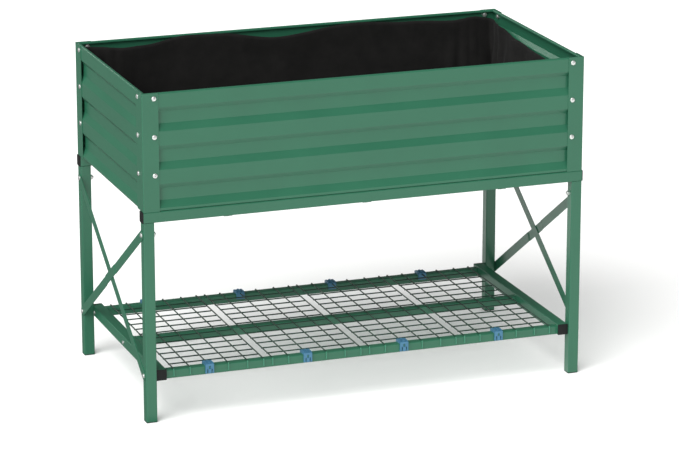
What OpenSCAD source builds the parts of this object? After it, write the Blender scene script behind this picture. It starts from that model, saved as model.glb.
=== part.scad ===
// Raised planter on legs: a corrugated steel bed with a fabric liner, four braced legs
// and a wire shelf. X runs along the long side, Y towards the back and Z up.
// The origin is on the floor under the middle of the planter.

/* [Overall] */
// Length over the end plugs of the bed rails
overall_l = 1060.45; // [950:0.05:1300]
// Depth over the legs
overall_w = 539.75; // [480:0.05:700]
// Height of the rim above the floor
overall_h = 762; // [700:1:900]

/* [Square tubes] */
// Side of the legs, the bed rails and the shelf's side rails
tube = 25; // [24:1:28]
// Side of the long shelf rails and the bed's cross bars
small_tube = 20; // [18:1:22]
// Wall thickness of every tube
tube_wall = 1.2; // [1:0.1:1.5]
// Outside corner radius of every tube
tube_r = 2; // [1.6:0.1:3]
// Thickness of the head of an end plug
plug_head = 2; // [1.5:0.5:3]
// Length of an end plug inside its tube
plug_stem = 12; // [10:1:15]

/* [Bed panels] */
// Thickness of the corrugated sheet
sheet = 0.8; // [0.6:0.1:1]
// Depth of the corrugations
groove_depth = 7; // [5:0.5:8]
// Height of one corrugation
wave = 87.5; // [84:0.5:90]
// Height of the flat outer face of a corrugation
ridge = 33; // [30:1:35]
// Height of the short slope from a ridge down into a groove
step = 11; // [6:1:12]
// Height of the flat inner face of a corrugation
groove = 27; // [22:1:28]
// Height of the narrow flat under the last corrugation
bottom_land = 7.5; // [6:0.5:12]
// Outside radius of the bends
bend_r = 3; // [2:0.5:3.5]
// Width of the folded rim
rim_w = 8; // [8:0.5:9]
// Height of the return under the folded rim
rim_return = 5; // [4:0.5:5]

/* [Corner posts] */
// Width of the flange on the front and the back
post_front = 38; // [36:1:50]
// Width of the flange on the short sides
post_side = 45; // [40:1:55]
// Thickness of a corner post
post_t = 1.2; // [1:0.1:1.5]
// Distance of the front and back bolts from the corner
front_bolt_in = 28; // [26:1:30]
// Distance of the side bolts from the corner
side_bolt_in = 33; // [30:1:36]
// Distance of the first bolt below the rim
bolt_drop = 12; // [12:0.5:16]

/* [Bed floor and liner] */
// Thickness of the floor sheets
floor_t = 1; // [0.8:0.1:1.5]
// Diameter of the drain holes
drain_d = 8; // [5:1:10]
// Distance of the outer cross bars from the middle
cross_bar_x = 330; // [250:5:360]
// Thickness of the fabric liner
liner_t = 1.5; // [1:0.5:3]
// Distance of the liner's top edge below the rim
liner_drop = 5.5; // [5.5:0.5:30]

/* [Braces] */
// Width of the brace straps
strap_w = 22; // [18:1:25]
// Thickness of the brace straps
strap_t = 1.5; // [1.2:0.1:2]
// Distance of the upper brace bolts below the bed rail
brace_drop = 30; // [25:1:60]
// Distance of the brace bolts from the outer face of the leg
brace_bolt_in = 15.5; // [13:0.5:17]

/* [Shelf] */
// Height of the shelf above the floor
shelf_h = 120.65; // [90:0.05:220]
// Depth of the shelf over the end plugs of its side rails
shelf_w = 527.05; // [500:0.05:538]
// Distance of the front shelf rail behind the face of the end plugs
shelf_rail_in = 8; // [6:1:12]
// Diameter of the shelf wires
wire_d = 3; // [2.5:0.1:4]
// Distance between the middles of neighbouring mesh sheets
mesh_pitch = 235; // [225:1:236]
// Distance between the outer and the second cross wires
mesh_end_gap = 38.5; // [30:0.5:45]
// Distance between the inner cross wires
mesh_mid_gap = 45.5; // [40:0.5:47]
// Distance between the long wires
mesh_long_gap = 38.5; // [38.5:0.1:40]
// Height of the bent wire ends on the rail's face
wire_hook = 15; // [8:1:15]

/* [Hidden] */
$fn = 32;

green = "#55826c";
black = "#161818";
zinc = "#d9dcda";

m6 = 6;
m5 = 5;
hole_play = 0.5;
waves = 3;
panel_h = waves * wave + bottom_land;
rail_top = overall_h - panel_h;
leg_top = rail_top - tube;
leg_x = overall_l / 2 - plug_head;
leg_y = overall_w / 2;
leg_mid = tube / 2;
lip_w = tube - post_t;
groove_in = post_t + groove_depth + sheet;
side_panel_y = leg_y - groove_in - 0.3;
bar_h = small_tube;
plate_t = 2;
floor_z = rail_top + sheet;
floor_in = 18.7;
floor_x = leg_x - floor_in;
floor_y = leg_y - floor_in;
drain_first = 60;
drain_pitch = 100;
drain_rows = [-180, -60, 60, 180];
liner_gap = 0.5;
liner_r = 12;
liner_z = floor_z + 3.8;
brace_y = leg_y - brace_bolt_in;
brace_low = shelf_h - tube / 2;
brace_high = leg_top - brace_drop;
brace_len = norm([2 * brace_y, brace_high - brace_low]);
brace_angle = atan2(brace_high - brace_low, 2 * brace_y);
crank_half = 40;
crank_ramp = 8;
side_rail_x = leg_x - 1.5 * tube;
side_rail_inner = leg_x - 2 * tube;
side_rail_y = shelf_w / 2 - plug_head;
shelf_bottom = shelf_h - tube;
long_rail_top = shelf_bottom + small_tube;
long_rail_y = shelf_w / 2 - shelf_rail_in - small_tube / 2;
long_screw_in = 4.8;
long_screw_y = long_rail_y - long_screw_in;
wire_r = wire_d / 2;
wire_bend = tube_r + wire_r;
wire_z = long_rail_top + wire_r;
wire_face_y = long_rail_y + small_tube / 2 + wire_r;
weld = 0.4;
mesh_w = 2 * mesh_end_gap + 3 * mesh_mid_gap;
insert_l = 15;
rivet_d = 9;
clip_w = 20;
clip_h = 22;
clip_t = 4.5;
clip_inner_h = 16;
clip_pocket = [5, 3, 7];
clip_slot = [2.4, 10.5];
clip_rib = [4, 2];

// Rounded shapes as lists of points

function unit(v) = v / norm(v);

function reversed(p) = [for (i = [len(p) - 1:-1:0]) p[i]];

// Rectangle with round corners, centred on the origin
function round_rect(w, d, r, n = 5) = [
    for (c = [0:3], i = [0:n])
        let (a = 90 * c + 90 * i / n, sx = (c == 0 || c == 3) ? 1 : -1, sy = c < 2 ? 1 : -1)
        [sx * (w / 2 - r) + r * cos(a), sy * (d / 2 - r) + r * sin(a)]
];

// Strap with round ends, from the origin along X
function stadium(l, w, n = 8) = [
    for (i = [0:n]) [l + w / 2 * cos(-90 + 180 * i / n), w / 2 * sin(-90 + 180 * i / n)],
    for (i = [0:n]) [w / 2 * cos(90 + 180 * i / n), w / 2 * sin(90 + 180 * i / n)]
];

// Arc of radius r that rounds the corner b between a and c
function corner_arc(a, b, c, r, n) =
    let (u = unit(a - b), v = unit(c - b), half = acos(u * v) / 2,
        centre = b + unit(u + v) * r / sin(half),
        start = b + u * r / tan(half) - centre,
        end = b + v * r / tan(half) - centre,
        first = atan2(start.y, start.x),
        turn = atan2(start.x * end.y - start.y * end.x, start * end))
    [for (i = [0:n]) centre + r * [cos(first + turn * i / n), sin(first + turn * i / n)]];

function rounded_path(p, r, n = 4) = [
    p[0],
    for (i = [1:len(p) - 2]) each corner_arc(p[i - 1], p[i], p[i + 1], r, n),
    p[len(p) - 1]
];

function left_normal(a, b) = let (d = unit(b - a)) [-d.y, d.x];

function offset_path(p, t) = [
    for (i = [0:len(p) - 1])
        let (n1 = left_normal(p[max(i - 1, 0)], p[max(i, 1)]),
            n2 = left_normal(p[min(i, len(p) - 2)], p[min(i + 1, len(p) - 1)]))
        p[i] + (n1 + n2) * t / (1 + n1 * n2)
];

// Outline of a bent sheet of thickness t, on the left of the path
function bent_sheet(p, t) = concat(p, reversed(offset_path(p, t)));

// Placing

// Draws its children, made for the front left corner, at another corner
module at_corner(sx, sy)
    mirror([sx > 0 ? 1 : 0, 0, 0]) mirror([0, sy > 0 ? 1 : 0, 0]) children();

module at_all_corners()
    for (sx = [-1, 1], sy = [-1, 1]) at_corner(sx, sy) children();

// Turns a piece whose head looks up so that the head looks forward, left or down
module head_forward() rotate([90, 0, 0]) children();

module head_left() rotate([0, -90, 0]) children();

module head_down() rotate([180, 0, 0]) children();

// Turns a shape drawn in X and Y and raised along Z, so that it runs along X or Y
module along_x() rotate([90, 0, 90]) children();

module along_y() rotate([-90, 0, 0]) children();

// Common pieces

// Square tube from the origin up
module square_tube(side, l) {
    difference() {
        linear_extrude(l) polygon(round_rect(side, side, tube_r));
        translate([0, 0, -1])
            linear_extrude(l + 2)
                polygon(round_rect(side - 2 * tube_wall, side - 2 * tube_wall, tube_r - tube_wall));
    }
}

// Plastic plug: the head lies below the origin and the hollow stem stands above it
module end_plug(cross_hole = 0) {
    inner = tube - 2 * tube_wall;
    color(black) difference() {
        union() {
            translate([0, 0, -plug_head])
                linear_extrude(plug_head) polygon(round_rect(tube, tube, tube_r));
            linear_extrude(plug_stem)
                polygon(round_rect(inner, inner, tube_r - tube_wall));
        }
        translate([0, 0, 1])
            linear_extrude(plug_stem) polygon(round_rect(inner - 4, inner - 4, 1));
        if (cross_hole > 0)
            translate([-tube, 0, cross_hole])
                rotate([0, 90, 0]) cylinder(h = 2 * tube, d = m6 + 2);
    }
}

// Block with a threaded hole that closes a tube's end, from the origin down
module threaded_insert(side, thread, hole_x = 0) {
    inner = side - 2 * tube_wall;
    color(zinc) translate([0, 0, -insert_l]) difference() {
        linear_extrude(insert_l) polygon(round_rect(inner, inner, tube_r - tube_wall));
        translate([hole_x, 0, -1]) cylinder(h = insert_l + 2, d = thread);
    }
}

// Pan head screw: the head's underside is at the origin and the shank hangs below it
module pan_screw(d, l) {
    head_r = 0.92 * d;
    head_h = 0.5 * d;
    color(zinc) difference() {
        union() {
            rotate_extrude() polygon([
                [0, 0], [head_r, 0],
                for (a = [0:18:72]) [head_r * cos(a), head_h * (0.35 + 0.65 * sin(a))],
                [0, head_h]
            ]);
            translate([0, 0, -l]) cylinder(h = l + 0.5, d = d - 0.1);
        }
        for (a = [0, 90])
            rotate(a) translate([-0.3 * d, -0.08 * d, 0.2 * d]) cube([0.6 * d, 0.16 * d, d]);
    }
}

// Hexagon nut from the origin down
module hex_nut(d, h) {
    flats = 1.67 * d;
    color(zinc) translate([0, 0, -h]) difference() {
        cylinder(h = h, d = flats / cos(30), $fn = 6);
        translate([0, 0, -1]) cylinder(h = h + 2, d = d);
    }
}

// Round hole along X, Y or Z through everything within reach of the origin
module hole_x(d, reach) translate([-reach, 0, 0]) rotate([0, 90, 0]) cylinder(h = 2 * reach, d = d);

module hole_y(d, reach) translate([0, reach, 0]) rotate([90, 0, 0]) cylinder(h = 2 * reach, d = d);

module hole_z(d, reach) translate([0, 0, -reach]) cylinder(h = 2 * reach, d = d);

// Legs

module leg(sx, sy) {
    at_corner(sx, sy)
        color(green) difference() {
            translate([-leg_x + leg_mid, -leg_y + leg_mid, plug_head])
                square_tube(tube, leg_top - plug_head);
            for (z = [brace_low, brace_high])
                translate([-leg_x + leg_mid, -brace_y, z]) hole_x(m6 + hole_play, tube);
        }
}

module foot_plug(sx, sy) {
    at_corner(sx, sy)
        translate([-leg_x + leg_mid, -leg_y + leg_mid, plug_head]) end_plug();
}

module leg_top_inserts() {
    at_all_corners()
        translate([-leg_x + leg_mid, -leg_y + leg_mid, leg_top]) threaded_insert(tube, m6);
}

// Bed frame

module bed_rail(sy) {
    at_corner(-1, sy)
        color(green) difference() {
            translate([-leg_x, -leg_y + leg_mid, leg_top + leg_mid])
                along_x() square_tube(tube, 2 * leg_x);
            for (x = [-leg_x + leg_mid, leg_x - leg_mid])
                translate([x, -leg_y + leg_mid, rail_top]) hole_z(m6 + hole_play, 2 * tube);
            for (x = [-cross_bar_x, 0, cross_bar_x])
                translate([x, -leg_y + leg_mid, leg_top]) hole_z(m5, leg_mid);
        }
}

module bed_rail_plug(sx, sy) {
    at_corner(sx, sy)
        translate([-leg_x, -leg_y + leg_mid, leg_top + leg_mid])
            rotate([0, 90, 0]) end_plug(leg_mid);
}

module leg_top_bolts() {
    at_all_corners()
        translate([-leg_x + leg_mid, -leg_y + leg_mid, floor_z]) pan_screw(m6, tube + 15);
}

// Tube between the bed rails with a hooked plate on each end that bolts under the rail
module cross_bar(x) {
    rail_in = leg_y - tube;
    color(green) difference() {
        union() {
            translate([x, -(rail_in - plate_t), floor_z - bar_h / 2])
                along_y() square_tube(small_tube, 2 * (rail_in - plate_t));
            for (sy = [-1, 1]) at_corner(-1, sy) {
                translate([x - bar_h / 2, -rail_in, leg_top - plate_t])
                    cube([bar_h, plate_t, tube]);
                translate([x - bar_h / 2, -rail_in - 20, leg_top - plate_t])
                    cube([bar_h, 20 + plate_t, plate_t]);
            }
        }
        for (sy = [-1, 1])
            translate([x, sy * (leg_y - leg_mid), leg_top]) hole_z(m5 + hole_play, 5);
    }
}

module cross_bar_screws() {
    for (x = [-cross_bar_x, 0, cross_bar_x], sy = [-1, 1])
        translate([x, sy * (leg_y - leg_mid), leg_top - plate_t])
            head_down() pan_screw(m5, 12);
}

module bed_floor(sx) {
    color(green) difference() {
        translate([sx < 0 ? -floor_x : 1, -floor_y, floor_z])
            cube([floor_x - 1, 2 * floor_y, floor_t]);
        for (i = [0:4], y = drain_rows)
            translate([sx * (drain_first + drain_pitch * i), y, floor_z]) hole_z(drain_d, 5);
    }
}

// Corrugated panels

// Outer face of the sheet in depth and height, from the return of the rim to the lip
panel_path = [
    [rim_w, panel_h - rim_return], [rim_w, panel_h], [0, panel_h],
    for (i = [0:waves - 1], bend = [
        [0, ridge], [groove_depth, ridge + step],
        [groove_depth, ridge + step + groove], [0, wave]])
        [bend.x, panel_h - i * wave - bend.y],
    [0, 0], [lip_w, 0]
];

// Panel centred on the origin, with its outer face on Y = 0 and its inside towards +Y
module panel_sheet(l, notch, bolt_x) {
    color(green) difference() {
        translate([-l / 2, 0, 0])
            along_x() linear_extrude(l)
                polygon(bent_sheet(rounded_path(panel_path, bend_r), sheet));
        for (sx = [-1, 1]) {
            translate([sx * l / 2, tube / 2 + 1.01 * sheet, 0])
                cube([2 * notch, tube, 2 * sheet], center = true);
            for (i = [0:waves - 1])
                translate([sx * bolt_x, 0, panel_h - bolt_drop - i * wave])
                    hole_y(m6 + hole_play, 3);
        }
        if (notch < 2) for (sx = [-1, 1])
            translate([sx * (leg_x - leg_mid), leg_mid - post_t, 0]) hole_z(m6 + hole_play, 3);
    }
}

module panel_front() {
    translate([0, -leg_y + post_t, rail_top])
        panel_sheet(2 * (leg_x - post_t), sheet + 0.4, leg_x - front_bolt_in);
}

module panel_back() rotate(180) panel_front();

module panel_right() {
    rotate(90) translate([0, -leg_x + post_t, rail_top])
        panel_sheet(2 * side_panel_y, side_panel_y - leg_y + tube + 0.5, leg_y - side_bolt_in);
}

module panel_left() rotate(180) panel_right();

module corner_post(sx, sy) {
    path = [[0, post_side], [0, 0], [post_front, 0]];
    at_corner(sx, sy)
        color(green) difference() {
            translate([-leg_x, -leg_y, rail_top])
                linear_extrude(panel_h)
                    polygon(bent_sheet(rounded_path(path, 2), post_t));
            for (i = [0:waves - 1]) {
                z = overall_h - bolt_drop - i * wave;
                translate([-leg_x + front_bolt_in, -leg_y, z]) hole_y(m6 + hole_play, 3);
                translate([-leg_x, -leg_y + side_bolt_in, z]) hole_x(m6 + hole_play, 3);
            }
        }
}

// Draws a piece at every bolt of the corner posts, a depth below the post's face
module at_corner_bolts(depth) {
    at_all_corners() for (i = [0:waves - 1]) {
        z = overall_h - bolt_drop - i * wave;
        translate([-leg_x + front_bolt_in, -leg_y + depth, z]) head_forward() children();
        translate([-leg_x + depth, -leg_y + side_bolt_in, z]) head_left() children();
    }
}

module corner_bolts() at_corner_bolts(0) pan_screw(m6, groove_in - 0.5);

module corner_nuts() at_corner_bolts(post_t + sheet) hex_nut(m6, 4.5);

module liner() {
    x = leg_x - groove_in - liner_gap;
    y = leg_y - groove_in - liner_gap;
    h = overall_h - liner_drop - liner_z;
    color(black) difference() {
        translate([0, 0, liner_z]) linear_extrude(h) polygon(round_rect(2 * x, 2 * y, liner_r));
        translate([0, 0, liner_z + liner_t])
            linear_extrude(h)
                polygon(round_rect(2 * (x - liner_t), 2 * (y - liner_t), liner_r - liner_t));
    }
}

// Braces

// Centre line of the strap that is cranked over the other one
crank_path = [
    [-strap_w, 0],
    [brace_len / 2 - crank_half - crank_ramp, 0], [brace_len / 2 - crank_half, strap_t + 0.1],
    [brace_len / 2 + crank_half, strap_t + 0.1], [brace_len / 2 + crank_half + crank_ramp, 0],
    [brace_len + strap_w, 0]
];

// Strap from bolt to bolt along X, lying on Z = 0
module strap(cranked) {
    difference() {
        if (cranked)
            intersection() {
                linear_extrude(10) polygon(stadium(brace_len, strap_w));
                translate([0, strap_w, 0]) rotate([90, 0, 0])
                    linear_extrude(2 * strap_w) polygon(bent_sheet(crank_path, strap_t));
            }
        else
            linear_extrude(strap_t) polygon(stadium(brace_len, strap_w));
        for (x = [0, brace_len]) translate([x, 0, 0]) hole_z(m6 + hole_play, 10);
    }
}

// The outer brace falls from the front to the back, and the inner one the other way
module brace(sx, outer) {
    at_corner(-sx, outer ? 1 : -1)
        color(green) translate([leg_x, -brace_y, brace_low])
            along_x() rotate(brace_angle) strap(outer);
}

module at_brace_bolts(x, z)
    at_all_corners() translate([-leg_x + x, -brace_y, z]) head_left() children();

module brace_upper_bolts() at_brace_bolts(-strap_t, brace_high) pan_screw(m6, strap_t + tube + 7.5);

module brace_upper_nuts() at_brace_bolts(tube, brace_high) hex_nut(m6, 5);

module brace_lower_bolts() at_brace_bolts(-strap_t, brace_low) pan_screw(m6, strap_t + tube + 12);

// Shelf

module shelf_side_rail(sx) {
    at_corner(sx, -1)
        color(green) difference() {
            translate([-side_rail_x, -side_rail_y, brace_low])
                along_y() square_tube(tube, 2 * side_rail_y);
            for (sy = [-1, 1])
                translate([-side_rail_x - leg_mid, sy * brace_y, brace_low]) hole_x(rivet_d, 3);
            for (y = [-long_screw_y, 0, long_screw_y])
                translate([-side_rail_x, y, shelf_bottom + small_tube / 2])
                    hole_x(m5 + hole_play, tube);
        }
}

// Threaded sleeves in the outer walls of the side rails
module shelf_rivet_nuts() {
    at_brace_bolts(tube, brace_low)
        color(zinc) translate([0, 0, -insert_l]) difference() {
            cylinder(h = insert_l, d = rivet_d);
            translate([0, 0, -1]) cylinder(h = insert_l + 2, d = m6);
        }
}

module shelf_plug(sx, sy) {
    at_corner(sx, sy)
        translate([-side_rail_x, -side_rail_y, brace_low])
            along_y() end_plug(side_rail_y - brace_y);
}

module long_rail(y) {
    color(green) translate([-side_rail_inner, y, shelf_bottom + small_tube / 2])
        along_x() square_tube(small_tube, 2 * side_rail_inner);
}

module shelf_rail_front() long_rail(-long_rail_y);

module shelf_rail_back() long_rail(long_rail_y);

module shelf_centre_beam() long_rail(0);

module shelf_rail_inserts() {
    for (sx = [-1, 1]) at_corner(sx, -1) {
        for (sy = [-1, 1])
            translate([-side_rail_inner, sy * long_rail_y, shelf_bottom + small_tube / 2])
                head_left() rotate(sy * 90) threaded_insert(small_tube, m5, -long_screw_in);
        translate([-side_rail_inner, 0, shelf_bottom + small_tube / 2])
            head_left() threaded_insert(small_tube, m5);
    }
}

module shelf_rail_screws() {
    for (sx = [-1, 1], y = [-long_screw_y, 0, long_screw_y]) at_corner(sx, -1)
        translate([-side_rail_inner - tube, y, shelf_bottom + small_tube / 2])
            head_left() pan_screw(m5, tube + 12);
}

// Wire that runs over the front and the back rail and is bent down on their faces
module cross_wire() {
    flat = wire_face_y - wire_bend;
    translate([0, -flat, wire_z]) along_y() cylinder(h = 2 * flat, r = wire_r);
    for (sy = [-1, 1]) at_corner(-1, sy) {
        translate([0, -flat, wire_z - wire_bend]) rotate([90, 0, -90])
            rotate_extrude(angle = 90) translate([wire_bend, 0]) circle(r = wire_r);
        translate([0, -wire_face_y, long_rail_top - wire_hook])
            cylinder(h = wire_hook - tube_r, r = wire_r);
    }
}

// Mesh sheet: cross wires over the rails, with the long wires welded under them
module shelf_mesh(i) {
    color(green) translate([(i - 1.5) * mesh_pitch, 0, 0]) {
        for (x = [0, mesh_end_gap, mesh_end_gap + mesh_mid_gap])
            for (sx = [-1, 1]) translate([sx * (mesh_w / 2 - x), 0, 0]) cross_wire();
        for (k = [0:5], sy = [-1, 1])
            translate([-mesh_w / 2, sy * (k + 0.5) * mesh_long_gap, wire_z - wire_d + weld])
                rotate([0, 90, 0]) cylinder(h = mesh_w, r = wire_r);
    }
}

// Snap-on clip that saddles a long rail and holds a cross wire on it: a slotted outer leg,
// a ribbed saddle and a short inner leg
module mesh_clip() {
    face_y = long_rail_y + small_tube / 2;
    inner_y = face_y - small_tube;
    saddle_top = long_rail_top + clip_t;
    difference() {
        union() {
            translate([-clip_w / 2, -face_y - clip_t, saddle_top - clip_h])
                cube([clip_w, clip_t, clip_h]);
            translate([-clip_w / 2, -face_y, long_rail_top]) cube([clip_w, small_tube, clip_t]);
            translate([-clip_w / 2, -inner_y, saddle_top - clip_inner_h])
                cube([clip_w, clip_t, clip_inner_h]);
            for (k = [-1:1])
                translate([k * (clip_w - clip_rib.x) / 2 - clip_rib.x / 2, -face_y, saddle_top])
                    cube([clip_rib.x, small_tube, clip_rib.y + (k == 0 ? 1 : 0)]);
        }
        // Groove for the wire, down the face and over the rail
        translate([-wire_r, -face_y - wire_d, long_rail_top - clip_h])
            cube([wire_d, wire_d, clip_h]);
        translate([-wire_r, -face_y - wire_d, long_rail_top - 0.01])
            cube([wire_d, small_tube + 2 * clip_t + wire_d, wire_d]);
        translate([-clip_pocket.x / 2, -face_y - wire_d - clip_pocket.y, long_rail_top - clip_pocket.z])
            cube(clip_pocket);
        // Slots that let the outer leg spring
        for (sx = [-1, 1])
            translate([sx * clip_w / 4 - clip_slot.x / 2, -face_y - 2 * clip_t, saddle_top - clip_h - 1])
                cube([clip_slot.x, 2 * clip_t, clip_slot.y + 1]);
    }
}

module mesh_clips() {
    clip_x = mesh_w / 2 - mesh_end_gap - mesh_mid_gap;
    color("#4a7aa8") for (i = [0:3], sy = [-1, 1])
        translate([(i - 1.5) * mesh_pitch - clip_x, 0, 0]) at_corner(-1, sy) mesh_clip();
}

leg(-1, -1);  // leg_front_left
leg(1, -1);  // leg_front_right
leg(-1, 1);  // leg_back_left
leg(1, 1);  // leg_back_right
foot_plug(-1, -1);  // foot_plug_front_left
foot_plug(1, -1);  // foot_plug_front_right
foot_plug(-1, 1);  // foot_plug_back_left
foot_plug(1, 1);  // foot_plug_back_right
leg_top_inserts();
bed_rail(-1);  // bed_rail_front
bed_rail(1);  // bed_rail_back
bed_rail_plug(-1, -1);  // bed_rail_plug_front_left
bed_rail_plug(1, -1);  // bed_rail_plug_front_right
bed_rail_plug(-1, 1);  // bed_rail_plug_back_left
bed_rail_plug(1, 1);  // bed_rail_plug_back_right
leg_top_bolts();
cross_bar(-cross_bar_x);  // cross_bar_left
cross_bar(0);  // cross_bar_middle
cross_bar(cross_bar_x);  // cross_bar_right
cross_bar_screws();
bed_floor(-1);  // bed_floor_left
bed_floor(1);  // bed_floor_right
panel_front();
panel_back();
panel_left();
panel_right();
corner_post(-1, -1);  // corner_post_front_left
corner_post(1, -1);  // corner_post_front_right
corner_post(-1, 1);  // corner_post_back_left
corner_post(1, 1);  // corner_post_back_right
corner_bolts();
corner_nuts();
liner();
brace(-1, false);  // brace_left_inner
brace(-1, true);  // brace_left_outer
brace(1, false);  // brace_right_inner
brace(1, true);  // brace_right_outer
brace_upper_bolts();
brace_upper_nuts();
brace_lower_bolts();
shelf_side_rail(-1);  // shelf_side_rail_left
shelf_side_rail(1);  // shelf_side_rail_right
shelf_rivet_nuts();
shelf_plug(-1, -1);  // shelf_plug_front_left
shelf_plug(1, -1);  // shelf_plug_front_right
shelf_plug(-1, 1);  // shelf_plug_back_left
shelf_plug(1, 1);  // shelf_plug_back_right
shelf_rail_front();
shelf_rail_back();
shelf_centre_beam();
shelf_rail_inserts();
shelf_rail_screws();
shelf_mesh(0);  // shelf_mesh_1
shelf_mesh(1);  // shelf_mesh_2
shelf_mesh(2);  // shelf_mesh_3
shelf_mesh(3);  // shelf_mesh_4
mesh_clips();
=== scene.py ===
import math

import bpy
from bpy.props import FloatProperty, FloatVectorProperty, PointerProperty
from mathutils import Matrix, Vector, noise


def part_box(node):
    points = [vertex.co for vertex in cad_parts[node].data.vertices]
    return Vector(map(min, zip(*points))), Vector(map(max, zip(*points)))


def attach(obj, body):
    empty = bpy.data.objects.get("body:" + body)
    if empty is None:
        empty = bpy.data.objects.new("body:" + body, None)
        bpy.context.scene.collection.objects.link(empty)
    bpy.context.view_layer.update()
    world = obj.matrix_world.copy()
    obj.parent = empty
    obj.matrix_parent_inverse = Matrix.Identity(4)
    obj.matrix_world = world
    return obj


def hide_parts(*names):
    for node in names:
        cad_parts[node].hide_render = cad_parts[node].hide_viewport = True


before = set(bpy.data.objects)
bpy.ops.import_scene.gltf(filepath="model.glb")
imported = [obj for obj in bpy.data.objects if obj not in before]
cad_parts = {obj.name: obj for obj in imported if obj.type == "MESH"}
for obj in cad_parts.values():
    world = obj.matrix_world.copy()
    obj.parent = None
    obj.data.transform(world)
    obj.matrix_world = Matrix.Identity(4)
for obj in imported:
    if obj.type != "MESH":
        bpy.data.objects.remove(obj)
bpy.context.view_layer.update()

bl_info = {
    "name": "Raised Planter on Legs",
    "version": (1, 0, 0),
    "blender": (4, 5, 0),
    "location": "3D View > Sidebar > Planter",
    "description": "Finishes a raised steel planter and lays the felt liner in its bed",
    "category": "Object",
}

# The planter's pieces, grouped by what they are made of
SHEET_NODES = [
    "panel_front", "panel_back", "panel_left", "panel_right",
    "corner_post_front_left", "corner_post_front_right",
    "corner_post_back_left", "corner_post_back_right",
    "bed_floor_left", "bed_floor_right",
]
TUBE_NODES = [
    "leg_front_left", "leg_front_right", "leg_back_left", "leg_back_right",
    "bed_rail_front", "bed_rail_back", "cross_bar_left", "cross_bar_middle", "cross_bar_right",
    "shelf_side_rail_left", "shelf_side_rail_right",
    "shelf_rail_front", "shelf_rail_back", "shelf_centre_beam",
    "brace_left_inner", "brace_left_outer", "brace_right_inner", "brace_right_outer",
]
WIRE_NODES = ["shelf_mesh_1", "shelf_mesh_2", "shelf_mesh_3", "shelf_mesh_4"]
PLUG_NODES = [
    "foot_plug_front_left", "foot_plug_front_right", "foot_plug_back_left", "foot_plug_back_right",
    "bed_rail_plug_front_left", "bed_rail_plug_front_right",
    "bed_rail_plug_back_left", "bed_rail_plug_back_right",
    "shelf_plug_front_left", "shelf_plug_front_right",
    "shelf_plug_back_left", "shelf_plug_back_right",
]
ZINC_NODES = [
    "corner_bolts", "corner_nuts", "leg_top_bolts", "leg_top_inserts", "cross_bar_screws",
    "brace_upper_bolts", "brace_upper_nuts", "brace_lower_bolts", "shelf_rivet_nuts",
    "shelf_rail_inserts", "shelf_rail_screws",
]
CLIP_NODES = ["mesh_clips"]


def linear(hex_colour):
    """The linear colour of an sRGB hex value such as #55826c."""
    channels = []
    for i in (1, 3, 5):
        c = int(hex_colour[i:i + 2], 16) / 255
        channels.append(c / 12.92 if c <= 0.04045 else ((c + 0.055) / 1.055) ** 2.4)
    return (*channels, 1.0)


def colour_property(name, description, hex_colour):
    return FloatVectorProperty(
        name=name, description=description, subtype="COLOR", size=4,
        min=0, max=1, default=linear(hex_colour),
    )


class PlanterColours(bpy.types.PropertyGroup):
    """Colours of the planter's finishes"""

    paint: colour_property("Powder coat", "Colour of the paint on all the steel", "#265f47")
    paint_thin: colour_property(
        "Thin powder coat", "Colour of the paint where the coat is a little thinner", "#29644b")
    plug: colour_property("End plugs", "Colour of the moulded end plugs and foot plugs", "#141616")
    # The two wire colours are darker than the frame's paint: painted shade for the wires lying in the
    # shadow under the bed. The thinner coat is the lighter of the two.
    wire: colour_property("Wire", "Colour of the paint on the shelf wires", "#0f2a1f")
    wire_thin_painted_shade: colour_property(
        "Thin wire coat", "Colour of the paint on the wires where it is thinner", "#1a4030")
    # The tip colour is a painted highlight: the bent wire ends over the rails are drawn lighter, as
    # if catching the light, not a thicker coat.
    wire_tip_painted_highlight: colour_property(
        "Wire tips", "Colour of the thicker coat on the bent wire ends", "#3a7a61")
    clip: colour_property("Clips", "Colour of the mesh clips", "#3a6b87")
    zinc: colour_property("Zinc", "Colour of the plated bolts and nuts", "#eef0ee")
    felt: colour_property("Felt", "Colour of the liner", "#10100f")
    felt_fluff: colour_property("Felt fluff", "Colour of the loose fibres on the liner", "#1a1918")
    floor: colour_property("Floor", "Colour of the studio floor", "#f4f4f3")
    card: colour_property("Card", "Colour of the card that holds back the shine", "#6e6e6e")


class PlanterLiner(bpy.types.PropertyGroup):
    """Sizes of the felt liner"""

    thickness: FloatProperty(
        name="Felt thickness", description="Thickness of the needled felt",
        default=0.0015, min=0.0008, max=0.003, unit="LENGTH", subtype="DISTANCE")
    cell: FloatProperty(
        name="Cell", description="Size of the mesh cells that the felt is cut into",
        default=0.008, min=0.005, max=0.03, unit="LENGTH", subtype="DISTANCE")
    bulge: FloatProperty(
        name="Bulge", description="How far the slack felt stands off the panels",
        default=0.011, min=0, max=0.03, unit="LENGTH", subtype="DISTANCE")
    pleat: FloatProperty(
        name="Pleat", description="Depth of the folds gathered into the corners",
        default=0.012, min=0, max=0.02, unit="LENGTH", subtype="DISTANCE")


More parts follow.
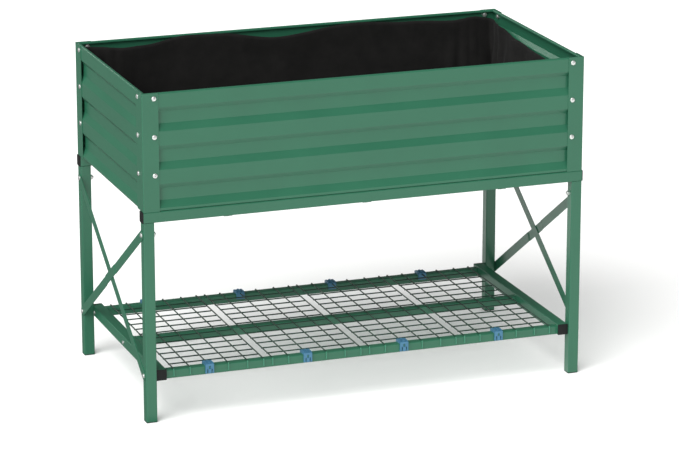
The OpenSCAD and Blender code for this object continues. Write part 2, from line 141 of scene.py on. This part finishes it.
class PlanterStage(bpy.types.PropertyGroup):
    """Camera, floor and lamps of the studio"""

    floor_size: FloatProperty(
        name="Floor size", description="Length of the floor's sides",
        default=40, min=10, max=100, unit="LENGTH", subtype="DISTANCE")
    camera_place: FloatVectorProperty(
        name="Camera place", description="Where the camera stands", size=3,
        default=(-2.5459, -7.1330, 2.5367), unit="LENGTH", subtype="TRANSLATION")
    camera_turn: FloatProperty(
        name="Camera turn", description="How far the camera is turned from straight ahead",
        default=math.radians(-19.853), min=-math.pi, max=math.pi, unit="ROTATION", subtype="ANGLE")
    camera_tilt: FloatProperty(
        name="Camera tilt", description="How far the camera looks down",
        default=math.radians(16.392), min=0, max=math.pi / 2, unit="ROTATION", subtype="ANGLE")
    lens: FloatProperty(
        name="Lens", description="Focal length of the camera",
        default=178.28, min=20, max=400, unit="CAMERA")
    key_strength: FloatProperty(
        name="Key light", description="Strength of the wide soft light from the front left",
        default=3.6, min=0, max=20)
    key_spread: FloatProperty(
        name="Key spread", description="How wide the key light is: a wide one casts soft shadows",
        default=math.radians(50), min=0, max=math.pi, unit="ROTATION", subtype="ANGLE")
    sky_seen: FloatProperty(
        name="Backdrop", description="Brightness of the studio walls as seen",
        default=1.0, min=0, max=5)
    sky_fill: FloatProperty(
        name="Fill", description="Brightness of the walls as a soft fill light",
        default=0.6, min=0, max=5)
    sky_shine: FloatProperty(
        name="Shine", description="Brightness of the walls in reflections",
        default=0.10, min=0, max=5)
    table_glow: FloatProperty(
        name="Table glow", description="Light that the floor gives off itself, as a light table does",
        default=0.09, min=0, max=5)
    card_glow: FloatProperty(
        name="Card glow", description="Light of the white card that only reflections see",
        default=1.0, min=0, max=5)


def add_node(tree, kind, settings, links):
    """Adds a node. Settings go to its attributes and sockets, and links feed its sockets."""
    node = tree.nodes.new(kind)
    for key, value in settings.items():
        if isinstance(key, int) or key in node.inputs:
            node.inputs[key].default_value = value
        else:
            setattr(node, key, value)
    for key, source in links.items():
        tree.links.new(source, node.inputs[key])
    return node


def new_material(name):
    material = bpy.data.materials.new(name)
    material.use_nodes = True
    material.node_tree.nodes.clear()
    return material, material.node_tree


def colour_stops(node, stops):
    """Gives a Color Ramp its stops, each a place and a colour."""
    ramp = node.color_ramp
    while len(ramp.elements) > 2:
        ramp.elements.remove(ramp.elements[-1])
    for i, (place, colour) in enumerate(stops):
        element = ramp.elements[i] if i < 2 else ramp.elements.new(place)
        element.position = place
        element.color = colour


def noise_scale(size_mm):
    """The scale of a noise whose features are about this many millimetres across."""
    return 1000 / size_mm


def powder_coat(name, thick, thin, peel_mm, tips=None):
    """Polyester powder coat, sprayed and baked on steel: a satin skin with a fine orange peel.
    Tips are a colour and the distance from the middle of the planter past which it shows; that colour
    is a painted highlight on the bent wire ends."""
    material, tree = new_material(name)
    place = add_node(tree, "ShaderNodeTexCoord", {}, {})
    # The coat is a little thinner and lighter in soft patches about 120 mm across
    patches = add_node(tree, "ShaderNodeTexNoise",
                       {"Scale": noise_scale(120), "Detail": 3.0, "Roughness": 0.55},
                       {"Vector": place.outputs["Object"]})
    shade = add_node(tree, "ShaderNodeValToRGB", {}, {"Fac": patches.outputs["Fac"]})
    colour_stops(shade, [(0.3, thick), (0.75, thin)])
    peel = add_node(tree, "ShaderNodeTexNoise",
                    {"Scale": noise_scale(peel_mm), "Detail": 2.0, "Roughness": 0.5},
                    {"Vector": place.outputs["Object"]})
    bump = add_node(tree, "ShaderNodeBump", {"Strength": 0.12, "Distance": 0.0003},
                    {"Height": peel.outputs["Fac"]})
    gloss = add_node(tree, "ShaderNodeMapRange",
                     {"From Min": 0.25, "From Max": 0.75, "To Min": 0.28, "To Max": 0.36},
                     {"Value": patches.outputs["Fac"]})
    colour = shade.outputs["Color"]
    # The wire ends further from the middle than the given place, front and back, take the lighter
    # colour: a painted highlight on the hooks over the rails.
    if tips:
        tip_highlight_colour, tip_place = tips
        axes = add_node(tree, "ShaderNodeSeparateXYZ", {}, {"Vector": place.outputs["Object"]})
        away = add_node(tree, "ShaderNodeMath", {"operation": "ABSOLUTE"}, {0: axes.outputs["Y"]})
        past = add_node(tree, "ShaderNodeMath", {"operation": "GREATER_THAN", 1: tip_place},
                        {0: away.outputs["Value"]})
        pick = add_node(tree, "ShaderNodeMix", {"data_type": "RGBA", 7: tip_highlight_colour},
                        {0: past.outputs["Value"], 6: colour})
        colour = pick.outputs[2]
    skin = add_node(tree, "ShaderNodeBsdfPrincipled", {"IOR": 1.5, "Metallic": 0.0},
                    {"Base Color": colour, "Roughness": gloss.outputs["Result"],
                     "Normal": bump.outputs["Normal"]})
    add_node(tree, "ShaderNodeOutputMaterial", {}, {"Surface": skin.outputs["BSDF"]})
    return material


def zinc_plate(name, colours):
    """Bright zinc electroplated on steel screws: a cool mirror dulled by a fine frost."""
    material, tree = new_material(name)
    place = add_node(tree, "ShaderNodeTexCoord", {}, {})
    frost = add_node(tree, "ShaderNodeTexNoise", {"Scale": noise_scale(0.8), "Detail": 4.0},
                     {"Vector": place.outputs["Object"]})
    tint = add_node(tree, "ShaderNodeValToRGB", {}, {"Fac": frost.outputs["Fac"]})
    colour_stops(tint, [(0.2, tuple(0.82 * c for c in colours.zinc[:3]) + (1,)), (0.7, colours.zinc)])
    gloss = add_node(tree, "ShaderNodeMapRange", {"To Min": 0.42, "To Max": 0.6},
                     {"Value": frost.outputs["Fac"]})
    bump = add_node(tree, "ShaderNodeBump", {"Strength": 0.1, "Distance": 0.0001},
                    {"Height": frost.outputs["Fac"]})
    skin = add_node(tree, "ShaderNodeBsdfPrincipled", {"Metallic": 1.0},
                    {"Base Color": tint.outputs["Color"], "Roughness": gloss.outputs["Result"],
                     "Normal": bump.outputs["Normal"]})
    add_node(tree, "ShaderNodeOutputMaterial", {}, {"Surface": skin.outputs["BSDF"]})
    return material


def moulded_plastic(name, colour, roughness, shine, grain_mm):
    """Injection moulded plastic: even colour, a soft gloss and the fine grain of the mould."""
    material, tree = new_material(name)
    place = add_node(tree, "ShaderNodeTexCoord", {}, {})
    flow = add_node(tree, "ShaderNodeTexNoise", {"Scale": noise_scale(20), "Detail": 2.0},
                    {"Vector": place.outputs["Object"]})
    light = tuple(min(1, 1.25 * c + 0.003) for c in colour[:3]) + (1,)
    tint = add_node(tree, "ShaderNodeValToRGB", {}, {"Fac": flow.outputs["Fac"]})
    colour_stops(tint, [(0.3, tuple(colour)), (0.8, light)])
    grain = add_node(tree, "ShaderNodeTexNoise", {"Scale": noise_scale(grain_mm), "Detail": 3.0},
                     {"Vector": place.outputs["Object"]})
    bump = add_node(tree, "ShaderNodeBump", {"Strength": 0.15, "Distance": 0.0001},
                    {"Height": grain.outputs["Fac"]})
    gloss = add_node(tree, "ShaderNodeMapRange",
                     {"To Min": roughness - 0.05, "To Max": roughness + 0.08},
                     {"Value": grain.outputs["Fac"]})
    skin = add_node(tree, "ShaderNodeBsdfPrincipled", {"IOR": 1.5, "Specular IOR Level": shine},
                    {"Base Color": tint.outputs["Color"], "Roughness": gloss.outputs["Result"],
                     "Normal": bump.outputs["Normal"]})
    add_node(tree, "ShaderNodeOutputMaterial", {}, {"Surface": skin.outputs["BSDF"]})
    return material


def needled_felt(name, colours):
    """Needle-punched polyester felt: deep black, matt, with fibres matted every way."""
    material, tree = new_material(name)
    place = add_node(tree, "ShaderNodeTexCoord", {}, {})
    # Fibres are far finer than this: they are drawn 2 mm coarse so that the mat shows
    mat = add_node(tree, "ShaderNodeTexNoise",
                   {"Scale": noise_scale(2), "Detail": 5.0, "Roughness": 0.7, "Distortion": 1.2},
                   {"Vector": place.outputs["Object"]})
    clumps = add_node(tree, "ShaderNodeTexNoise",
                      {"Scale": noise_scale(30), "Detail": 4.0, "Roughness": 0.6},
                      {"Vector": place.outputs["Object"]})
    mixed = add_node(tree, "ShaderNodeMath", {"operation": "MULTIPLY_ADD", 1: 0.5},
                     {0: mat.outputs["Fac"], 2: clumps.outputs["Fac"]})
    tint = add_node(tree, "ShaderNodeValToRGB", {}, {"Fac": mixed.outputs["Value"]})
    colour_stops(tint, [(0.5, colours.felt), (1.0, colours.felt_fluff)])
    bump = add_node(tree, "ShaderNodeBump", {"Strength": 0.5, "Distance": 0.0012},
                    {"Height": mat.outputs["Fac"]})
    skin = add_node(tree, "ShaderNodeBsdfPrincipled",
                    {"Roughness": 0.95, "Sheen Weight": 0.02, "Sheen Roughness": 0.5,
                     "Specular IOR Level": 0.25},
                    {"Base Color": tint.outputs["Color"], "Normal": bump.outputs["Normal"]})
    add_node(tree, "ShaderNodeOutputMaterial", {}, {"Surface": skin.outputs["BSDF"]})
    return material


def studio_board(name, colour, glow):
    """Opal acrylic light table or matt card: even, with a faint mottle and, if lit, a glow."""
    material, tree = new_material(name)
    place = add_node(tree, "ShaderNodeTexCoord", {}, {})
    mottle = add_node(tree, "ShaderNodeTexNoise", {"Scale": noise_scale(600), "Detail": 3.0},
                      {"Vector": place.outputs["Object"]})
    tint = add_node(tree, "ShaderNodeValToRGB", {}, {"Fac": mottle.outputs["Fac"]})
    colour_stops(tint, [(0.2, tuple(0.99 * c for c in colour[:3]) + (1,)), (0.8, colour)])
    skin = add_node(tree, "ShaderNodeBsdfPrincipled",
                    {"Roughness": 0.9, "Specular IOR Level": 0.1, "Emission Color": (1, 1, 1, 1),
                     "Emission Strength": glow},
                    {"Base Color": tint.outputs["Color"]})
    add_node(tree, "ShaderNodeOutputMaterial", {}, {"Surface": skin.outputs["BSDF"]})
    return material


def paint_nodes(names, material):
    for name in names:
        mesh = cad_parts[name].data
        mesh.materials.clear()
        mesh.materials.append(material)


def select_edges(obj, wanted):
    """Selects the edges whose two end points satisfy wanted, and goes into edit mode."""
    mesh = obj.data
    for v in mesh.vertices:
        v.select = False
    for f in mesh.polygons:
        f.select = False
    for e in mesh.edges:
        a, b = (mesh.vertices[i].co for i in e.vertices)
        e.select = wanted(a, b)
    bpy.ops.object.mode_set(mode="EDIT")


def open_box(name, low, high):
    """Adds a box between two corners, without its top face."""
    bpy.ops.object.select_all(action="DESELECT")
    bpy.ops.mesh.primitive_cube_add(size=1, location=(low + high) / 2)
    box = bpy.context.active_object
    box.name = name
    bpy.ops.transform.resize(value=high - low)
    bpy.ops.object.transform_apply(location=True, rotation=True, scale=True)
    bpy.ops.object.mode_set(mode="EDIT")
    bpy.ops.mesh.select_all(action="DESELECT")
    bpy.ops.object.mode_set(mode="OBJECT")
    for f in box.data.polygons:
        f.select = f.normal.z > 0.9
    bpy.ops.object.mode_set(mode="EDIT")
    bpy.ops.mesh.select_mode(type="FACE")
    bpy.ops.mesh.delete(type="FACE")
    bpy.ops.mesh.select_mode(type="EDGE")
    bpy.ops.object.mode_set(mode="OBJECT")
    return box


def cut_into_cells(obj, size, cell):
    """Halves a box's edges, one axis after another, until its faces are about one cell long."""
    for axis in range(3):
        length = size[axis]
        while length > 1.4 * cell:
            select_edges(obj, lambda a, b: abs(a[axis] - b[axis]) > 0.6 * length)
            bpy.ops.mesh.subdivide(number_cuts=1)
            bpy.ops.object.mode_set(mode="OBJECT")
            length /= 2


class PLANTER_OT_steel(bpy.types.Operator):
    """Coat the sheet, tube and wire of the planter with green powder coat"""

    bl_idname = "planter.coat_steel"
    bl_label = "Coat the Steel"

    def execute(self, context):
        colours = context.scene.planter_colours
        thick, thin = colours.paint, colours.paint_thin
        paint_nodes(SHEET_NODES, powder_coat("powder_coat_on_sheet", thick, thin, peel_mm=2.5))
        paint_nodes(TUBE_NODES, powder_coat("powder_coat_on_tube", thick, thin, peel_mm=1.8))
        rail_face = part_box("shelf_rail_back")[1].y
        # The wire coat is darkened as painted shade under the bed, and its bent ends out beyond the
        # back rail's face are lighter, as a painted highlight.
        paint_nodes(WIRE_NODES, powder_coat(
            "powder_coat_on_wire_painted_shade_and_highlight", colours.wire, colours.wire_thin_painted_shade, peel_mm=1.2,
            tips=(colours.wire_tip_painted_highlight, rail_face)))
        return {"FINISHED"}


class PLANTER_OT_plastic(bpy.types.Operator):
    """Give the plugs and the mesh clips their moulded plastic"""

    bl_idname = "planter.mould_plastic"
    bl_label = "Mould the Plastic"

    def execute(self, context):
        colours = context.scene.planter_colours
        polyethylene = moulded_plastic(
            "moulded_black_polyethylene", colours.plug, roughness=0.45, shine=0.2, grain_mm=0.6)
        nylon = moulded_plastic(
            "moulded_blue_nylon", colours.clip, roughness=0.42, shine=0.5, grain_mm=0.6)
        paint_nodes(PLUG_NODES, polyethylene)
        paint_nodes(CLIP_NODES, nylon)
        return {"FINISHED"}


class PLANTER_OT_fasteners(bpy.types.Operator):
    """Plate the bolts, nuts, screws and inserts with zinc"""

    bl_idname = "planter.plate_fasteners"
    bl_label = "Plate the Fasteners"

    def execute(self, context):
        paint_nodes(ZINC_NODES, zinc_plate("bright_zinc_plate", context.scene.planter_colours))
        return {"FINISHED"}


class PLANTER_OT_liner(bpy.types.Operator):
    """Lay the felt liner in the bed, slack against the panels and pleated in the corners"""

    bl_idname = "planter.lay_liner"
    bl_label = "Lay the Liner"

    def execute(self, context):
        settings = context.scene.planter_liner
        low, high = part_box("liner")
        inset = settings.thickness
        low = low + Vector((inset, inset, FLOOR_GAP))
        high = high - Vector((inset, inset, 0))
        high.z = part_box("panel_back")[1].z - RIM_GAP
        size = high - low
        liner = open_box("felt_liner", low, high)
        # The upright corners and the bottom edges are soft
        select_edges(liner, lambda a, b: min(a.z, b.z) < low.z + 1e-5)
        bpy.ops.mesh.bevel(offset=SOFT_EDGE, segments=3, affect="EDGES")
        bpy.ops.object.mode_set(mode="OBJECT")
        cut_into_cells(liner, size, settings.cell)
        drape(liner.data, low, high, settings)
        bpy.ops.object.select_all(action="DESELECT")
        liner.select_set(True)
        bpy.ops.object.shade_smooth()
        thick = liner.modifiers.new("felt", "SOLIDIFY")
        thick.thickness = settings.thickness
        thick.offset = -1
        bpy.ops.object.modifier_apply(modifier=thick.name)
        liner.data.materials.append(needled_felt("needled_black_felt", context.scene.planter_colours))
        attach(liner, "root")
        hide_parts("liner")
        return {"FINISHED"}


# How the felt gives way, in metres: the roundness of its folded edges, its clearances over the
# floor sheets and below the rim, and how near to a panel a point belongs to that wall
SOFT_EDGE = 0.012
FLOOR_GAP = 0.0002
RIM_GAP = 0.0005
WALL_BAND = 0.02
# A wall hangs fully slack this far from a corner, the folds fade out between the next two
# distances, and the free edge leans in a little
SLACK_FROM = 0.09
FOLDS_FADE = (0.05, 0.16)
EDGE_LEAN = 0.002
# Heights of the waves and the creases in the felt on the floor
FLOOR_WAVE = 0.002
FLOOR_CREASE = 0.004

# How far the liner's top edge hangs below the rim: places from 0 to 1 along a wall and drops in
# metres. The long walls run from left to right, the left wall from front to back and the right
# wall from back to front.
BACK_EDGE = [
    (0.0, 0.010), (0.03, 0.011), (0.1, 0.017), (0.14, 0.015), (0.25, 0.0), (0.32, 0.002),
    (0.46, 0.021), (0.66, 0.002), (0.78, 0.009), (0.9, 0.015), (0.95, 0.010), (1.0, 0.019),
]
RIGHT_EDGE = [
    (0.0, 0.019), (0.12, 0.024), (0.35, 0.034), (0.5, 0.041), (0.7, 0.044), (0.88, 0.036),
    (1.0, 0.018),
]
FRONT_EDGE = [
    (0.0, 0.014), (0.1, 0.018), (0.25, 0.006), (0.4, 0.020), (0.55, 0.012), (0.7, 0.024),
    (0.85, 0.010), (1.0, 0.016),
]
LEFT_EDGE = [(0.0, 0.012), (0.2, 0.018), (0.5, 0.010), (0.75, 0.016), (1.0, 0.010)]


def smooth(low, high, x):
    """Rises smoothly from 0 at low to 1 at high."""
    t = min(1.0, max(0.0, (x - low) / (high - low)))
    return t * t * (3 - 2 * t)


def profile(points, t):
    """Smooth curve through points of place and height."""
    for (x0, y0), (x1, y1) in zip(points, points[1:]):
        if t <= x1:
            return y0 + (y1 - y0) * smooth(x0, x1, t)
    return points[-1][1]


def stand_off(place, up, along, across, inward, settings):
    """How far a point of a wall stands in from its panel. Along and across are its distances along
    the wall and from the nearest corner, and up is its height from 0 to 1."""
    x, y, z = place
    # Slack in waves about 200 mm long, with creases a third as long
    wall = 3.1 * inward.x + 7.3 * inward.y
    slack = 0.5 + 0.5 * noise.noise(Vector((along * 5.0, z * 3.0, wall)))
    creases = noise.noise(Vector((along * 16.0 + 4 * z, z * 9.0 + along * 3, 5.0 + inward.x)))
    off = settings.bulge * smooth(0.0, SLACK_FROM, across) * (slack + 0.25 * creases)
    # Near a corner the spare felt gathers into a few upright folds, sharp at the crest, which
    # flatten towards the free edge
    corner = Vector((across * 27.0, z * 1.6, 3.0 * (x > 0) + 7.0 * (y > 0) + inward.x))
    fold = max(0.0, 1 - 3.2 * abs(noise.noise(corner)))
    fold *= smooth(0.0, SOFT_EDGE, across) * (1 - smooth(*FOLDS_FADE, across))
    off += settings.pleat * fold * (1 - 0.7 * smooth(0.6, 1.0, up))
    return off * smooth(0.0, 0.12, up) + EDGE_LEAN * smooth(0.8, 0.97, up)


def drape(mesh, low, high, settings):
    """Moves the liner's points: a wavy top edge, slack walls, folded corners and a creased floor."""
    size = high - low
    for v in mesh.vertices:
        x, y, z = v.co
        to_x = min(x - low.x, high.x - x)
        to_y = min(y - low.y, high.y - y)
        up = (z - low.z) / size.z
        tx, ty = (x - low.x) / size.x, (y - low.y) / size.y
        if min(to_x, to_y) < WALL_BAND and up > 0.001:
            # The wall that the point belongs to gives the inward direction and the edge's drop
            if to_x < to_y:
                inward = Vector((1 if x < 0 else -1, 0, 0))
                along, across = y, to_y
                drop = profile(LEFT_EDGE, ty) if x < 0 else profile(RIGHT_EDGE, 1 - ty)
            else:
                inward = Vector((0, 1 if y < 0 else -1, 0))
                along, across = x, to_x
                drop = profile(FRONT_EDGE, tx) if y < 0 else profile(BACK_EDGE, tx)
            v.co += inward * stand_off((x, y, z), up, along, across, inward, settings)
            v.co.z -= drop * smooth(0.25, 1.0, up)
        elif up < 0.06:
            # The floor of the felt lifts in waves about 140 mm long, with a few sharp creases
            lift = 0.5 + 0.5 * noise.noise(Vector((x * 7.0, y * 7.0, 11.0)))
            ridge = 1 - abs(noise.noise(Vector((x * 5.0 + 2 * y, y * 5.0, 2.0))) * 3.0)
            height = FLOOR_WAVE * lift + FLOOR_CREASE * max(0.0, ridge) ** 3
            v.co.z += smooth(0.0, 0.05, min(to_x, to_y)) * height


# The cards that only reflections see, each a size, a place and a turn. The dark one lies on the
# floor and keeps the grazing shine off the left end. The white one stands behind the planter and
# puts a shine on the slopes inside the bed.
DARK_CARD = ((12.4, 20.0), (-6.4, 9.7, 0.001), (0, 0, 0))
WHITE_CARD = ((3.0, 1.3), (-1.9, 5.6, 2.2), (math.radians(75), 0, math.radians(22)))
# Where the key light stands, and the way it shines
KEY_PLACE = (-2.5, -3.5, 4.0)
KEY_AIM = Vector((0.58, 0.44, -0.68))


def gloss_card(name, size, place, turn, material):
    """Adds a flat card that only reflections see."""
    bpy.ops.object.select_all(action="DESELECT")
    bpy.ops.mesh.primitive_plane_add(size=1, location=place, rotation=turn)
    card = bpy.context.active_object
    card.name = name
    bpy.ops.transform.resize(value=(*size, 1.0), orient_type="LOCAL")
    bpy.ops.object.transform_apply(location=True, rotation=True, scale=True)
    card.data.materials.append(material)
    card.visible_camera = False
    card.visible_diffuse = False
    card.visible_shadow = False
    card.visible_transmission = False


class PLANTER_OT_stage(bpy.types.Operator):
    """Set up the studio floor, the soft lamps and the camera"""

    bl_idname = "planter.set_stage"
    bl_label = "Set the Stage"

    def execute(self, context):
        scene = context.scene
        stage, colours = scene.planter_stage, scene.planter_colours
        bpy.ops.object.select_all(action="DESELECT")
        bpy.ops.mesh.primitive_plane_add(size=stage.floor_size, location=(0, 0, 0))
        floor = context.active_object
        floor.name = "studio_floor"
        floor.data.materials.append(studio_board("opal_light_table", colours.floor, stage.table_glow))
        gloss_card("dark_card", *DARK_CARD, studio_board("matt_grey_card", colours.card, 0))
        gloss_card("white_card", *WHITE_CARD,
                   studio_board("matt_white_card", colours.floor, stage.card_glow))

        world = bpy.data.worlds.new("studio_walls")
        world.use_nodes = True
        tree = world.node_tree
        tree.nodes.clear()
        # The walls are bright to look at, give a soft fill, and are dim in reflections
        ray = add_node(tree, "ShaderNodeLightPath", {}, {})
        fill = add_node(tree, "ShaderNodeMath",
                        {"operation": "MULTIPLY_ADD", 1: stage.sky_fill - stage.sky_shine,
                         2: stage.sky_shine},
                        {0: ray.outputs["Is Diffuse Ray"]})
        level = add_node(tree, "ShaderNodeMath",
                         {"operation": "MULTIPLY_ADD", 1: stage.sky_seen - stage.sky_shine},
                         {0: ray.outputs["Is Camera Ray"], 2: fill.outputs["Value"]})
        glow = add_node(tree, "ShaderNodeBackground", {"Color": (1, 1, 1, 1)},
                        {"Strength": level.outputs["Value"]})
        add_node(tree, "ShaderNodeOutputWorld", {}, {"Surface": glow.outputs["Background"]})
        scene.world = world

        bpy.ops.object.select_all(action="DESELECT")
        bpy.ops.object.light_add(type="SUN", location=KEY_PLACE)
        key = context.active_object
        key.name = "key_light"
        key.data.energy = stage.key_strength
        key.data.angle = stage.key_spread
        key.rotation_euler = KEY_AIM.to_track_quat("-Z", "Y").to_euler()

        bpy.ops.object.select_all(action="DESELECT")
        bpy.ops.object.camera_add(
            location=stage.camera_place,
            rotation=(math.pi / 2 - stage.camera_tilt, 0, stage.camera_turn))
        camera = context.active_object
        camera.name = "camera"
        camera.data.lens = stage.lens
        camera.data.sensor_width = 36
        scene.camera = camera
        scene.view_settings.view_transform = "Standard"
        return {"FINISHED"}


class PLANTER_PT_panel(bpy.types.Panel):
    """The planter's sizes, colours and steps"""

    bl_idname = "PLANTER_PT_panel"
    bl_label = "Raised Planter"
    bl_space_type = "VIEW_3D"
    bl_region_type = "UI"
    bl_category = "Planter"

    def draw(self, context):
        scene = context.scene
        for group in (scene.planter_colours, scene.planter_liner, scene.planter_stage):
            box = self.layout.box()
            for key in group.bl_rna.properties.keys():
                if key not in ("rna_type", "name"):
                    box.prop(group, key)
        for operator in OPERATORS:
            self.layout.operator(operator.bl_idname)


OPERATORS = (
    PLANTER_OT_steel, PLANTER_OT_plastic, PLANTER_OT_fasteners, PLANTER_OT_liner, PLANTER_OT_stage,
)
GROUPS = (PlanterColours, PlanterLiner, PlanterStage)
CLASSES = (*GROUPS, *OPERATORS, PLANTER_PT_panel)


def register():
    for cls in CLASSES:
        bpy.utils.register_class(cls)
    bpy.types.Scene.planter_colours = PointerProperty(type=PlanterColours)
    bpy.types.Scene.planter_liner = PointerProperty(type=PlanterLiner)
    bpy.types.Scene.planter_stage = PointerProperty(type=PlanterStage)


def unregister():
    del bpy.types.Scene.planter_stage
    del bpy.types.Scene.planter_liner
    del bpy.types.Scene.planter_colours
    for cls in reversed(CLASSES):
        bpy.utils.unregister_class(cls)


def main():
    register()
    bpy.ops.planter.coat_steel()
    bpy.ops.planter.mould_plastic()
    bpy.ops.planter.plate_fasteners()
    bpy.ops.planter.lay_liner()
    bpy.ops.planter.set_stage()


if __name__ == "__main__":
    main()
